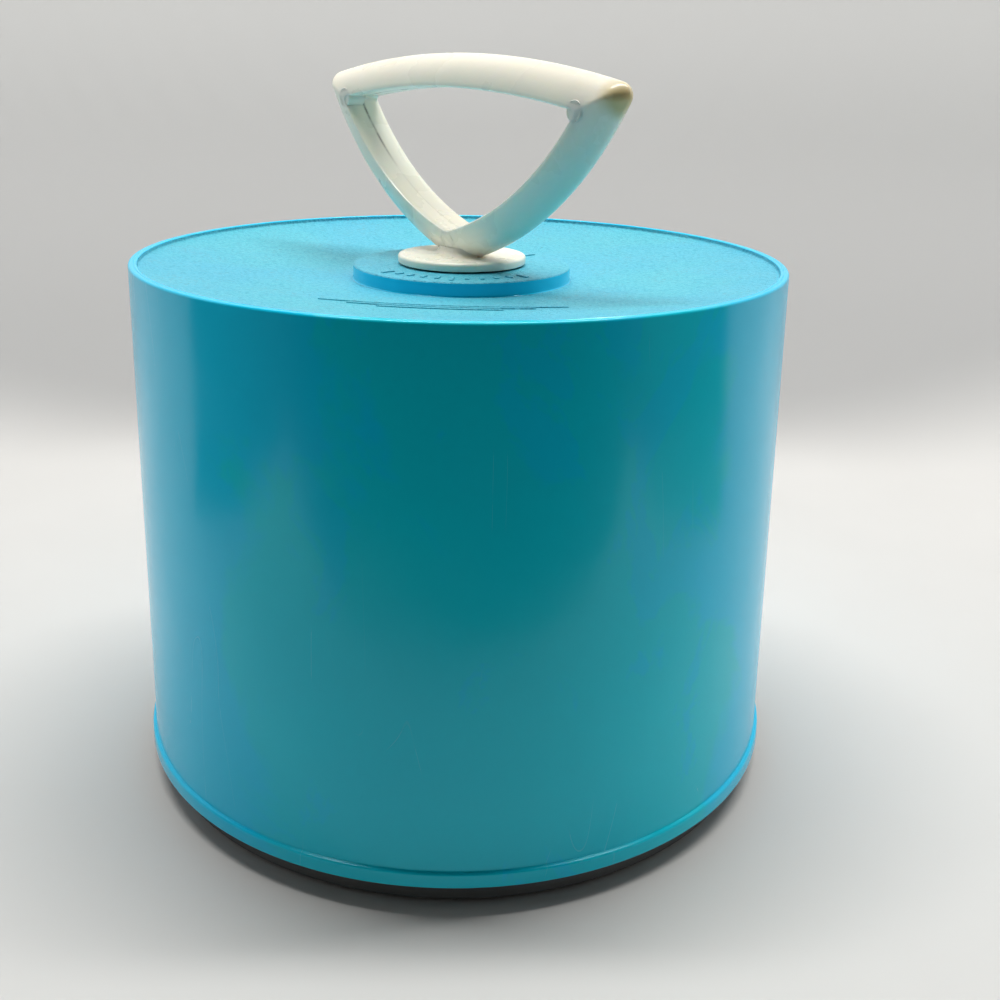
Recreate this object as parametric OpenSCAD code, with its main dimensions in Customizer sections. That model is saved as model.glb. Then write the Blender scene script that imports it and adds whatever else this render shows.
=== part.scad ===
// Round carrying case for seven-inch records: a drum-shaped cover with a loop handle
// over a shallow base with a central spindle. Millimetres, Z up. The origin is on the
// ground under the middle of the base. The handle lies along X with the lock open, and
// a quarter turn clockwise locks the cover to the spindle.

/* [Cover] */
// Diameter over the lip at the top
cover_top_d = 186; // [184:1:188]
// Diameter of the wall just above the rim
cover_mouth_d = 194.4; // [193:0.2:195]
// Diameter over the rim round the mouth
rim_d = 197; // [196:0.5:200]
// Height of the rim
rim_h = 4.4; // [3:0.2:6]
// Height of the cover from its mouth to its lip
cover_h = 145.6; // [140:0.2:150]
// Thickness of the moulded wall
wall = 2.6; // [2:0.1:3]
// Width of the lip round the top
lip_w = 2.4; // [2:0.1:3]
// Step down from the lip to the top plate
lip_step = 1.25; // [0.8:0.05:2]
// Fall of the dished plate from the lip to the boss
dish_drop = 5.3; // [3:0.1:6]

/* [Boss under the handle] */
// Radius of the round boss
boss_r = 31.5; // [29:0.5:34]
// Height of the boss above the plate beside it
boss_h = 4; // [3:0.1:5]
// Radius of the hub that guides the handle's stud
hub_r = 15; // [14:0.5:17]
// Drop of the hub below the top of the boss
hub_h = 8; // [7:0.5:9]
// Height of the raised trim on the plate and on the boss
trim_h = 0.5; // [0.3:0.1:0.8]

/* [Handle] */
// Thickness of the loop from its inner face to its crown
loop_t = 8.9; // [8:0.1:10]
// Rounding of the loop's two outer corners
corner_r = 4.5; // [3:0.5:7]
// Depth of the loop from front to back
loop_depth = 12.6; // [11:0.2:14]
// Roundness of the loop's two faces: 1 is flat, 2 is an ellipse
crown_power = 1.75; // [1.25:0.25:2]
// Height of the loop's highest point above the lip
loop_rise = 54.7; // [50:0.1:58]
// Radius of the arc along the top of the loop
loop_top_r = 309; // [250:1:400]
// Radius of the arc down each leg
loop_leg_r = 99.6; // [98:0.2:102]
// How far each leg arc's centre lies beyond the middle
leg_centre_x = 23.2; // [22:0.2:24]
// Height of the leg arcs' centres above the lip
leg_centre_h = 94.9; // [94:0.1:96]
// Radius of the round foot
foot_r = 18.6; // [17:0.1:20]
// Thickness of the round foot
foot_h = 2.4; // [2:0.1:3]
// Radius of the stud that turns in the boss
stud_r = 11; // [10.5:0.1:11.5]
// Width of the square end of the stud
tang_w = 12; // [11:0.5:13]

/* [Base] */
// Height of the band that shows under the rim
band_h = 6.6; // [5:0.2:8]
// Diameter over the band's lower edge
band_d = 189.2; // [186:0.2:191]
// Gap between the ground and the band
ground_gap = 1.5; // [1:0.1:2.5]
// Height of the wall that stands inside the cover's mouth
upstand_h = 12; // [8:1:16]
// Height of the rings that the records rest on
seat_h = 3; // [2:0.5:4]
// Radius of the circle that the rubber feet stand on
feet_pitch_r = 78; // [70:1:82]

/* [Spindle and lock] */
// Radius of the post, for records with a 38.1 mm hole
spindle_r = 18.65; // [18.4:0.05:18.8]
// Height of the top of the post above the ground
spindle_top = 132.5; // [131.5:0.5:133]
// Outer radius of the two lugs on the cam
lug_r = 15; // [14.5:0.1:15.2]
// Width of each lug
lug_w = 9; // [8:0.5:9.5]
// Height of each lug
lug_h = 3.5; // [3:0.1:4]

/* [Index dividers] */
// Number of dividers
divider_count = 4; // [1:1:4]
// Thickness of a divider
divider_t = 0.8; // [0.5:0.1:1]

/* [Hidden] */
$fn = 96;
eps = 0.01;
seat_gap = 0.04;
fine_edge = 0.3;
soft_edge = 0.7;
slip = 0.02;

divider_pitch = divider_t + 0.05;
divider_hole_r = 19.5;
divider_r = 86.5;
divider_turn = 40;
tab_root = 60;
tab_w = 26;
tab_reach = 90.6;
tab_corner_r = 4;

mouth_z = ground_gap + band_h + seat_gap;
rim_top = mouth_z + rim_h;
lip_z = mouth_z + cover_h;
lip_in_r = cover_top_d / 2 - lip_w;
plate_edge_z = lip_z - lip_step;
boss_top = plate_edge_z - dish_drop + boss_h;
hub_z = boss_top - hub_h;
draft = (cover_mouth_d - cover_top_d) / 2 / (lip_z - rim_top);
rib_t = 2;

// Raised bars, each as its distance from the middle, its width and its length
trim_bars = [[46.4, 2.2, 64], [50.2, 1.4, 48], [53.2, 1.4, 32]];
trim_angle = -45;
trim_root = 0.6;
tick_r = 24.4;
tick_w = 1.2;
tick_turn = 9;
short_tick = 2.6;
long_tick = 4.2;

floor_z = ground_gap + 2;
floor_t = 2.5;
floor_top = floor_z + floor_t;
seat_z = floor_top + seat_h;
band_t = 3.1;
band_flare = 1.7;
upstand_r = cover_mouth_d / 2 - wall - 0.7;
upstand_t = 2.3;
upstand_edge = 0.6;
flange_r = 26;
collar_fit = 0.35;
// Rings that the records rest on, each as its inner and outer radius
seat_rings = [[49, 51], [83.5, 86]];
under_rib_count = 8;
rubber_foot_r = 7;
rubber_foot_count = 4;
rubber_foot_turn = 22.5;
foot_edge = 0.8;
pocket_t = 1.8;

washer_t = 0.4;
foot_z = boss_top + washer_t + 2 * seat_gap;
bore_r = stud_r + 0.07;
spring_t = 0.5;
cam_top = hub_z - 1.2;
cam_rim_h = 1;
tang_h = 5;
tang_fit = 0.04;
socket_floor = cam_top - tang_h;
plate_t = 2;
lug_z = spindle_top - 0.4 - lug_h;
neck_r = 8;
screw_r = 2;
screw_floor = socket_floor - 3.2;
cam_head_r = 3.6;
cam_head_h = 2.2;
cam_washer_t = 0.6;
cam_bore_r = 4.6;
cam_screw_l = 15;
lock_screw_r = 1.25;
lock_screw_l = 12;
lock_screw_head_r = 2.55;
lock_screw_head_h = 1.3;
lock_screw_pitch = 14.5;
lock_screw_angle = 45;
lock_post_r = 5.4;
lock_post_h = 14;
base_screw_r = 1.5;
base_screw_l = 14;
base_screw_pitch = 12;
base_screw_angle = 30;
base_screw_head_r = 3;
base_screw_head_h = 1.6;
base_screw_count = 3;
base_post_r = 4.2;
base_post_h = 18;
pad_z = floor_z - 1;

loop_centre = [0, lip_z + 28];
top_centre = [0, lip_z + loop_rise - loop_top_r];
leg_centre = [-leg_centre_x, lip_z + leg_centre_h];
crown_h = loop_t + 0.5;
edge_r = 0.7;
inner_corner_r = 1.8;
ejector_r = 2.75;
ejector_x = 50.1;
ejector_sink = 0.25;
loop_stations = 120;
section_shares = [0, 0.03, 0.14, 0.3, 0.46, 0.62, 0.77, 0.89, 0.97, 1];

// Outer radius of the drafted wall at height z
function wall_r(z) = cover_mouth_d / 2 - draft * (z - rim_top);

// Share of the dished plate's fall at radius r, none at the lip and all at the boss
function fall(r) = 1 - (r * r - boss_r * boss_r) / (lip_in_r * lip_in_r - boss_r * boss_r);

// Height of the dished plate at radius r, a shallow bowl
function plate_z(r) = plate_edge_z - dish_drop * fall(r);

// Radii across the plate, from the lip to the boss
function plate_radii(outer, inner, steps) = [for (i = [0:steps]) outer + (inner - outer) * i / steps];

// Gap from a point of the handle's plane to the outline's top arc and to its leg arc
function side_gaps(p) = [
    loop_top_r - norm(p - top_centre),
    loop_leg_r - norm([abs(p[0]), p[1]] - leg_centre)
];

// Gap to the outline moved inwards by inset, with its corners rounded by r
function outline_gap(p, inset, r) =
    let (g = side_gaps(p) - [inset, inset])
    g[0] < r && g[1] < r ? r - norm([r - g[0], r - g[1]]) : min(g);

// Distance along direction u from the loop's middle to that outline, by halving
function reach(u, inset, r, near = 0, far = 120, steps = 20) =
    let (half = (near + far) / 2)
    steps == 0 ? half :
    outline_gap(loop_centre + half * u, inset, r) > 0 ? reach(u, inset, r, half, far, steps - 1) :
    reach(u, inset, r, near, half, steps - 1);

// Half the loop's depth at a point: a rounded crown and eased inner edges
function half_depth(p) =
    let (
        out = min(max(outline_gap(p, 0, corner_r), 0), crown_h),
        inn = min(max(-outline_gap(p, loop_t, inner_corner_r), 0), edge_r),
        crown = pow(1 - pow(1 - out / crown_h, crown_power), 1 / crown_power)
    )
    loop_depth / 2 * crown - edge_r + sqrt(edge_r * edge_r - pow(edge_r - inn, 2));

// One closed section of the loop at angle a, as points in space
function loop_section(a) =
    let (
        u = [cos(a), sin(a)],
        inner = loop_centre + reach(u, loop_t, inner_corner_r) * u,
        outer = loop_centre + reach(u, 0, corner_r) * u,
        last = len(section_shares) - 1,
        flat = [for (s = section_shares) inner + s * (outer - inner)]
    )
    concat(
        [for (p = [for (i = [0:last - 1]) flat[i]]) [p[0], -half_depth(p), p[1]]],
        [[outer[0], 0, outer[1]]],
        [for (i = [last - 1:-1:0]) [flat[i][0], half_depth(flat[i]), flat[i][1]]]
    );

module ring(outer, inner, low, high) {
    translate([0, 0, low]) difference() {
        cylinder(r = outer, h = high - low);
        translate([0, 0, -1]) cylinder(r = inner, h = high - low + 2);
    }
}

module post(r, low, high) {
    translate([0, 0, low]) cylinder(r = r, h = high - low);
}

module around(count, pitch, start = 0) {
    for (i = [0:count - 1]) rotate([0, 0, start + i * 360 / count]) translate([pitch, 0, 0]) children();
}

// Block centred on Y, from x to x + length
module bar(x, width, length, low, high) {
    translate([x, -width / 2, low]) cube([length, width, high - low]);
}

// Layer that follows the dished plate, from z below it to z above it
module plate_layer(below, above) {
    rotate_extrude() polygon(concat(
        [for (r = plate_radii(lip_in_r - 1, boss_r + 1, 12)) [r, plate_z(r) + above]],
        [for (r = plate_radii(boss_r + 1, lip_in_r - 1, 12)) [r, plate_z(r) - below]]
    ));
}

// Plain raised bars where a maker would put a name, and ticks round the boss
module trim() {
    intersection() {
        plate_layer(trim_root, trim_h);
        rotate([0, 0, trim_angle]) for (b = trim_bars) bar(b[0], b[2], b[1], hub_z, lip_z);
    }
    for (side = [0, 180]) for (i = [-5:5]) rotate([0, 0, trim_angle + side + i * tick_turn])
        bar(tick_r, tick_w, i % 5 == 0 ? long_tick : short_tick, boss_top - trim_root, boss_top + trim_h);
}

module cover() {
    plate_low = plate_z(lip_in_r) - wall;
    boss_low = boss_top - wall;
    well_r = boss_r - wall;
    color([0.16, 0.62, 0.74]) union() {
        rotate_extrude() polygon(concat(
            [
                [wall_r(mouth_z) - wall, mouth_z],
                [rim_d / 2 - fine_edge, mouth_z],
                [rim_d / 2, mouth_z + fine_edge],
                [rim_d / 2 - fine_edge, rim_top - soft_edge],
                [rim_d / 2 - soft_edge, rim_top],
                [wall_r(rim_top), rim_top],
                [wall_r(lip_z - soft_edge), lip_z - soft_edge],
                [cover_top_d / 2 - soft_edge, lip_z],
                [lip_in_r + fine_edge, lip_z],
                [lip_in_r, lip_z - fine_edge]
            ],
            [for (r = plate_radii(lip_in_r, boss_r, 14)) [r, plate_z(r)]],
            [
                [boss_r, boss_top - fine_edge],
                [boss_r - fine_edge, boss_top],
                [bore_r, boss_top],
                [bore_r, hub_z],
                [hub_r, hub_z],
                [hub_r, boss_low],
                [well_r, boss_low]
            ],
            [for (r = plate_radii(well_r, wall_r(plate_low) - wall - 2, 14)) [r, plate_z(r) - wall]],
            [[wall_r(plate_low - 2) - wall, plate_low - 2]]
        ));
        around(4, 0) bar(hub_r - 1, rib_t, well_r - hub_r + 2, hub_z + 2, boss_low + 1);
        trim();
    }
}

module loop() {
    sections = [for (i = [0:loop_stations - 1]) loop_section(-90 + i * 360 / loop_stations)];
    per = len(sections[0]);
    polyhedron(
        points = [for (s = sections) each s],
        faces = [
            for (i = [0:loop_stations - 1]) for (j = [0:per - 1])
                let (
                    a = i * per + j,
                    b = i * per + (j + 1) % per,
                    c = (i + 1) % loop_stations * per + (j + 1) % per,
                    d = (i + 1) % loop_stations * per + j
                )
                each [[a, c, b], [a, d, c]]
        ]
    );
}

// Round landings for the mould's ejector pins, in front in the loop's two upper inner corners
module ejector_landings() {
    corner_z = top_centre[1] + sqrt(pow(loop_top_r - loop_t, 2) - ejector_x * ejector_x);
    face = half_depth([ejector_x, corner_z]) - ejector_sink;
    for (side = [-1, 1])
        translate([side * ejector_x, 0, corner_z]) rotate([90, 0, 0])
            cylinder(r = ejector_r, h = face);
}

module handle() {
    foot_top = foot_z + foot_h;
    color([0.93, 0.9, 0.8]) difference() {
        union() {
            loop();
            ejector_landings();
            translate([0, 0, foot_z]) cylinder(r1 = foot_r - fine_edge, r2 = foot_r, h = fine_edge);
            post(foot_r, foot_z + fine_edge, foot_top - foot_edge);
            translate([0, 0, foot_top - foot_edge]) cylinder(r1 = foot_r, r2 = foot_r - 1, h = foot_edge);
            post(stud_r, cam_top + seat_gap, foot_z + 1);
            bar(-tang_w / 2, tang_w, tang_w, socket_floor + seat_gap, cam_top + 1);
        }
        post(screw_r + slip, socket_floor - 1, foot_z - 1);
    }
}

module thrust_washer() {
    low = boss_top + seat_gap;
    color([0.12, 0.12, 0.12]) ring(foot_r - 1.2, bore_r, low, low + washer_t);
}

module spring_washer() {
    inner = stud_r + 0.2;
    outer = hub_r - 0.2;
    color([0.62, 0.62, 0.6]) rotate_extrude() polygon([
        [inner, hub_z - seat_gap],
        [inner, hub_z - seat_gap - spring_t],
        [outer, cam_top + seat_gap],
        [outer, cam_top + seat_gap + spring_t]
    ]);
}

module lock_cam() {
    socket_w = tang_w + 2 * tang_fit;
    color([0.9, 0.87, 0.77]) difference() {
        union() {
            post(hub_r, cam_top - cam_rim_h, cam_top);
            post(hub_r - 2, socket_floor - 1, cam_top - cam_rim_h + eps);
            post(neck_r, lug_z, socket_floor);
            intersection() {
                post(lug_r, lug_z, lug_z + lug_h);
                bar(-lug_r, lug_w, 2 * lug_r, lug_z, lug_z + lug_h);
            }
        }
        bar(-socket_w / 2, socket_w, socket_w, socket_floor, cam_top + 1);
        post(cam_bore_r, lug_z - 1, screw_floor);
        post(screw_r + tang_fit, screw_floor - 1, socket_floor + 1);
    }
}

module cam_washer() {
    top = screw_floor - slip;
    color([0.7, 0.7, 0.7]) ring(cam_bore_r - 0.3, screw_r + tang_fit, top - cam_washer_t, top);
}

// Pan head screw pointing up, with its head's flat face at z and a cross recess
module pan_screw(r, z, length, head_r, head_h) {
    slot_w = head_r * 0.25;
    slot_l = head_r * 1.2;
    difference() {
        union() {
            post(r, z - eps, z + length);
            post(head_r, z - head_h + 0.5, z);
            translate([0, 0, z - head_h]) cylinder(r1 = head_r - 0.5, r2 = head_r, h = 0.5);
        }
        for (a = [0, 90]) rotate([0, 0, a]) bar(-slot_l / 2, slot_w, slot_l, z - head_h - 1, z - head_h + 1);
    }
}

module cam_screw() {
    head_z = screw_floor - 2 * slip - cam_washer_t;
    color([0.7, 0.7, 0.7]) pan_screw(screw_r, head_z, cam_screw_l, cam_head_r, cam_head_h);
}

module base_pan() {
    band_r = band_d / 2;
    shoulder_z = mouth_z - seat_gap;
    upstand_z = mouth_z + upstand_h;
    rib_z = pad_z + 0.2;
    color([0.09, 0.1, 0.1]) difference() {
        union() {
            rotate_extrude() polygon([
                [0, floor_z],
                [band_r - band_t, floor_z],
                [band_r - band_t, ground_gap],
                [band_r - 0.4, ground_gap],
                [band_r, ground_gap + 0.4],
                [band_r + band_flare, mouth_z - 0.6],
                [band_r + band_flare - fine_edge, shoulder_z],
                [upstand_r, shoulder_z],
                [upstand_r, upstand_z - upstand_edge],
                [upstand_r - upstand_edge, upstand_z],
                [upstand_r - upstand_t + upstand_edge, upstand_z],
                [upstand_r - upstand_t, upstand_z - upstand_edge],
                [upstand_r - upstand_t, floor_top],
                [0, floor_top]
            ]);
            post(flange_r + 1, pad_z, floor_z + eps);
            ring(flange_r + 2.4, flange_r + fine_edge, floor_top - eps, seat_z - upstand_edge);
            for (seat = seat_rings) ring(seat[1], seat[0], floor_top - eps, seat_z);
            around(under_rib_count, 0)
                bar(flange_r, rib_t, band_r - flange_r - band_t + 0.1, rib_z, floor_z + eps);
            around(rubber_foot_count, feet_pitch_r, rubber_foot_turn)
                ring(rubber_foot_r + 0.2 + pocket_t, rubber_foot_r + 0.2, rib_z, floor_z + eps);
        }
        around(base_screw_count, base_screw_pitch, base_screw_angle) {
            post(base_screw_r + 0.1, 0, seat_z + 1);
            post(base_screw_head_r + fine_edge, 0, pad_z + base_screw_head_h + 0.1);
        }
    }
}

// Posts inside the spindle's bore, two for the lock plate and three for the base
module screw_posts(bore) {
    foot = floor_top + seat_gap;
    intersection() {
        post(bore + 1, foot, spindle_top);
        union() {
            around(2, lock_screw_pitch, lock_screw_angle)
                post(lock_post_r, spindle_top - lock_post_h, spindle_top);
            around(base_screw_count, base_screw_pitch, base_screw_angle)
                post(base_post_r, foot, floor_top + base_post_h);
        }
    }
}

module spindle() {
    collar_top = seat_z + divider_count * divider_pitch + 0.5;
    bore = spindle_r - 2.5;
    color([0.93, 0.9, 0.8]) difference() {
        union() {
            difference() {
                union() {
                    post(flange_r, floor_top + seat_gap, seat_z);
                    post(spindle_r + collar_fit, seat_z - eps, collar_top);
                    post(spindle_r, collar_top - eps, spindle_top);
                }
                post(bore, 0, spindle_top + 1);
            }
            screw_posts(bore);
        }
        around(2, lock_screw_pitch, lock_screw_angle)
            post(lock_screw_r + slip, spindle_top - lock_screw_l, spindle_top + 1);
        around(base_screw_count, base_screw_pitch, base_screw_angle)
            post(base_screw_r + slip, 0, floor_top + base_post_h - 2);
    }
}

module lock_plate() {
    low = spindle_top - 1;
    high = spindle_top + plate_t + 1;
    slot_r = lug_r + 0.6;
    slot_w = lug_w + 1;
    color([0.66, 0.67, 0.68]) difference() {
        post(spindle_r - 0.25, spindle_top + slip, spindle_top + plate_t);
        post(neck_r + 0.6, low, high);
        intersection() {
            post(slot_r, low, high);
            bar(-slot_r, slot_w, 2 * slot_r, low, high);
        }
        around(2, lock_screw_pitch, lock_screw_angle) {
            post(lock_screw_r + 0.1, low, high);
            translate([0, 0, spindle_top + plate_t - lock_screw_head_h])
                cylinder(r1 = lock_screw_r + 0.1, r2 = lock_screw_head_r + 0.2, h = lock_screw_head_h + 0.1);
        }
    }
}

module lock_plate_screws() {
    top = spindle_top + plate_t;
    neck_z = top - lock_screw_head_h;
    color([0.7, 0.7, 0.7]) around(2, lock_screw_pitch, lock_screw_angle) difference() {
        union() {
            post(lock_screw_r, top - lock_screw_l, neck_z + 0.1);
            translate([0, 0, neck_z])
                cylinder(r1 = lock_screw_r, r2 = lock_screw_head_r, h = lock_screw_head_h);
        }
        for (a = [0, 90]) rotate([0, 0, a]) bar(-1.5, 0.6, 3, top - 0.8, top + 1);
    }
}

module spindle_screws() {
    head_z = pad_z + base_screw_head_h + 0.08;
    color([0.7, 0.7, 0.7]) around(base_screw_count, base_screw_pitch, base_screw_angle)
        pan_screw(base_screw_r, head_z, base_screw_l, base_screw_head_r, base_screw_head_h);
}

module rubber_foot(i) {
    turn = rubber_foot_turn + (i - 1) * 360 / rubber_foot_count;
    color([0.07, 0.07, 0.07]) around(1, feet_pitch_r, turn) union() {
        cylinder(r1 = rubber_foot_r - foot_edge, r2 = rubber_foot_r, h = foot_edge);
        post(rubber_foot_r, foot_edge - eps, floor_z - slip);
    }
}

// Disc with a hole for the spindle and a finger tab, each tab a step on from the last
module index_divider(i) {
    low = seat_z + 0.03 + (i - 1) * divider_pitch;
    tip_w = tab_w - 2 * tab_corner_r;
    color([0.85, 0.8, 0.66]) rotate([0, 0, -divider_turn * i]) translate([0, 0, low]) difference() {
        union() {
            cylinder(r = divider_r, h = divider_t);
            bar(tab_root, tab_w, tab_reach - tab_corner_r - tab_root, 0, divider_t);
            bar(tab_root, tip_w, tab_reach - tab_root, 0, divider_t);
            for (side = [-1, 1]) translate([tab_reach - tab_corner_r, side * tip_w / 2, 0])
                cylinder(r = tab_corner_r, h = divider_t);
        }
        post(divider_hole_r, -1, divider_t + 1);
    }
}

cover();
handle();
thrust_washer();
spring_washer();
lock_cam();
cam_washer();
cam_screw();
base_pan();
spindle();
lock_plate();
lock_plate_screws();
spindle_screws();
for (i = [1:rubber_foot_count]) rubber_foot(i);
for (i = [1:divider_count]) index_divider(i);
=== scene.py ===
"""Looks of a round carrying case for seven-inch records, in metres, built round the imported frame.

The cover, its raised trim and the handle are made here as fine surfaces. The base, the spindle, the
lock, the screws and the dividers keep the frame's own shapes and get their finishes here.
"""

import math

import bpy
import numpy as np
from mathutils import Matrix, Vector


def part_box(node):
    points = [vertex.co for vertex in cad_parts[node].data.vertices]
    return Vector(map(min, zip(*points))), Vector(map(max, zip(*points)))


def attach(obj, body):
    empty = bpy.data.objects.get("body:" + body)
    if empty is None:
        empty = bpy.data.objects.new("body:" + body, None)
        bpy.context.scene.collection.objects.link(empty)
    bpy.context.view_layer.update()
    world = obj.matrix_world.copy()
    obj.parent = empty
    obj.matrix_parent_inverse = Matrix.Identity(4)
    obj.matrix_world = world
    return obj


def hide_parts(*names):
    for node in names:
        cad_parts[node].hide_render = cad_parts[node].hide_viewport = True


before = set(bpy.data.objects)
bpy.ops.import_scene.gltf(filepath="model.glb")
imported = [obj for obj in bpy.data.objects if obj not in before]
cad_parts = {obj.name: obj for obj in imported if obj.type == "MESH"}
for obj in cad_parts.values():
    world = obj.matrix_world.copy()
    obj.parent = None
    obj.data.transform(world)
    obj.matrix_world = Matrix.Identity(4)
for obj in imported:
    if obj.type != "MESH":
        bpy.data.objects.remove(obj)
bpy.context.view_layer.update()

MM = 0.001

# Levels and radii of the cover, from the frame
COVER_LOW, COVER_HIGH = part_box("cover")
HANDLE_LOW, HANDLE_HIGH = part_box("handle")
MOUTH_Z = COVER_LOW.z
LIP_Z = COVER_HIGH.z
RIM_R = COVER_HIGH.x
RIM_TOP = MOUTH_Z + 4.4 * MM
MOUTH_R = RIM_R - 1.3 * MM
LIP_R = RIM_R - 5.5 * MM
LIP_INNER_R = LIP_R - 2.4 * MM
PLATE_EDGE_Z = LIP_Z - 1.25 * MM
DISH_DROP = 5.3 * MM
WALL = 2.6 * MM
BOSS_R = 31.5 * MM
BOSS_TOP = PLATE_EDGE_Z - DISH_DROP + 4 * MM
HUB_R = 15 * MM
HUB_Z = BOSS_TOP - 8 * MM
BORE_R = 11.07 * MM
TRIM_H = 0.34 * MM
TRIM_TURN = math.radians(-45)

# The handle's loop, from the frame's height and the same arcs as the frame's solid
LOOP_T = 8.9 * MM
LOOP_DEPTH = 12.6 * MM
LOOP_TOP_R = 309 * MM
LOOP_LEG_R = 99.6 * MM
LOOP_CENTRE = np.array([0, LIP_Z + 28 * MM])
TOP_CENTRE = np.array([0, HANDLE_HIGH.z - LOOP_TOP_R])
LEG_CENTRE = np.array([-23.2 * MM, LIP_Z + 94.9 * MM])
CORNER_R = 4.5 * MM
INNER_CORNER_R = 1.8 * MM
EDGE_R = 0.7 * MM
CROWN_H = LOOP_T + 0.5 * MM
CROWN_POWER = 1.75
PAD_R = 2.75 * MM
PAD_X = 50.1 * MM
PAD_Z = TOP_CENTRE[1] + math.sqrt((LOOP_TOP_R - LOOP_T) ** 2 - PAD_X**2)
PAD_SINK = 0.25 * MM
LOW_RING_Z = LIP_Z + 4.6 * MM
FOOT_Z = BOSS_TOP + 0.48 * MM
FOOT_TOP = FOOT_Z + 2.4 * MM
FOOT_R = 18.6 * MM
STUD_R = 11 * MM
STUD_Z = HANDLE_LOW.z + 5 * MM
TANG_W = 12 * MM
STAIN_AT = (61.5 * MM, -2 * MM, LIP_Z + 44.5 * MM)
GRIME_AT = (-42 * MM, 0, LIP_Z + 42 * MM)

# Level directions: towards the camera, to its right, and to the side of the case that light has aged
CAMERA_TURN = math.radians(50.8)
FRONT = np.array([math.sin(CAMERA_TURN), -math.cos(CAMERA_TURN)])
RIGHT = np.array([math.cos(CAMERA_TURN), math.sin(CAMERA_TURN)])
AGED_TURN = math.radians(13)
AGED_SIDE = tuple(FRONT * math.cos(AGED_TURN) + RIGHT * math.sin(AGED_TURN))

SHARP_TURN = math.radians(35)


# ---------------------------------------------------------------- surfaces


def grid_faces(rows, columns, close_rows=False, close_columns=False):
    """Quads between neighbouring points of a grid kept row by row. A closed direction joins its last
    line of points to its first."""
    i = np.arange(rows if close_rows else rows - 1)[:, None]
    j = np.arange(columns if close_columns else columns - 1)[None, :]
    i_next, j_next = (i + 1) % rows, (j + 1) % columns
    corners = [i * columns + j, i * columns + j_next, i_next * columns + j_next, i_next * columns + j]
    return np.stack(np.broadcast_arrays(*corners), -1).reshape(-1, 4)


def rounded_path(corners, closed, step=math.radians(12)):
    """Path through corners (r, z, radius): each corner gives way to an arc of its radius, tangent to
    both of its sides, with a point for every step of turn. A radius of 0 keeps the point."""
    p = np.array([c[:2] for c in corners], float)
    path = []
    for k, (_, _, radius) in enumerate(corners):
        ends = not closed and k in (0, len(corners) - 1)
        if radius == 0 or ends:
            path.append(p[k][None])
            continue
        back = p[k - 1] - p[k]
        on = p[(k + 1) % len(p)] - p[k]
        back, on = back / np.linalg.norm(back), on / np.linalg.norm(on)
        half = math.acos(np.clip(back @ on, -1, 1)) / 2
        turn = math.pi - 2 * half
        middle = (back + on) / np.linalg.norm(back + on)
        centre = p[k] + middle * radius / math.sin(half)
        steps = max(2, math.ceil(turn / step))
        start = p[k] + back * radius / math.tan(half) - centre
        sign = np.sign(back[1] * on[0] - back[0] * on[1])
        a = np.linspace(0, turn, steps + 1)[:, None] * sign
        side = np.array([-start[1], start[0]])
        path.append(centre + start * np.cos(a) + side * np.sin(a))
    return np.concatenate(path)


def turned(profile, around):
    """Points of a profile (r, z) carried round the Z axis: x = r cos a, y = r sin a."""
    a = np.arange(around) * 2 * math.pi / around
    r, z = profile[:, 0][:, None], profile[:, 1][:, None]
    return np.stack([r * np.cos(a), r * np.sin(a), z + 0 * a], -1)


def end_fans(rows, columns):
    """Triangles that close a grid's first and last rows round two points kept just after the grid."""
    j = np.arange(columns)
    on = (j + 1) % columns
    low, last = rows * columns, (rows - 1) * columns
    first_fan = np.stack([np.full(columns, low), on, j], -1)
    last_fan = np.stack([np.full(columns, low + 1), last + j, last + on], -1)
    return np.concatenate([first_fan, last_fan])


class Shells:
    """One piece's points and faces, gathered shell by shell, each face with its material's number."""

    def __init__(self):
        self.points, self.faces, self.marks, self.values = [], [], [], []
        self.count = 0

    def add(self, points, faces, mark=0, value=0.0, fans=()):
        """Adds points (n, 3), their faces and any triangles that close their ends. A value is kept for
        each point, as an attribute."""
        points = np.asarray(points, float).reshape(-1, 3)
        self.points.append(points)
        self.faces += (np.asarray(faces) + self.count).tolist()
        self.faces += (np.asarray(fans) + self.count).tolist()
        self.marks.append(np.broadcast_to(mark, len(faces) + len(fans)))
        self.values.append(np.broadcast_to(value, len(points)))
        self.count += len(points)

    def add_turned(self, profile, around, marks):
        """Adds a closed profile carried round the Z axis, with a mark for each of its sides."""
        faces = grid_faces(len(profile), around, True, True)
        self.add(turned(profile, around), faces, np.repeat(marks, around))

    def add_disc(self, profile, around):
        """Adds an open profile, on the axis at both of its ends, as a closed shell with two poles."""
        rows = len(profile) - 2
        rim = turned(profile[1:-1], around).reshape(-1, 3)
        poles = [[0, 0, profile[0, 1]], [0, 0, profile[-1, 1]]]
        faces = grid_faces(rows, around, False, True)
        self.add(np.concatenate([rim, poles]), faces, fans=end_fans(rows, around))

    def piece(self, name, body, replaced, materials):
        """Makes the object, which rides on a body and stands for a node of the frame."""
        mesh = bpy.data.meshes.new(name)
        mesh.from_pydata(np.concatenate(self.points).tolist(), [], self.faces)
        for material in materials:
            mesh.materials.append(material)
        mesh.polygons.foreach_set("material_index", np.concatenate(self.marks).astype(np.int32))
        kept = mesh.attributes.new("parting", "FLOAT", "POINT")
        kept.data.foreach_set("value", np.concatenate(self.values).astype(np.float32))
        mesh.shade_smooth()
        mesh.set_sharp_from_angle(angle=SHARP_TURN)
        mesh.validate()
        made = bpy.data.objects.new(name, mesh)
        bpy.context.scene.collection.objects.link(made)
        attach(made, body)
        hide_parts(replaced)
        return made


# ---------------------------------------------------------------- finishes


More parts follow.
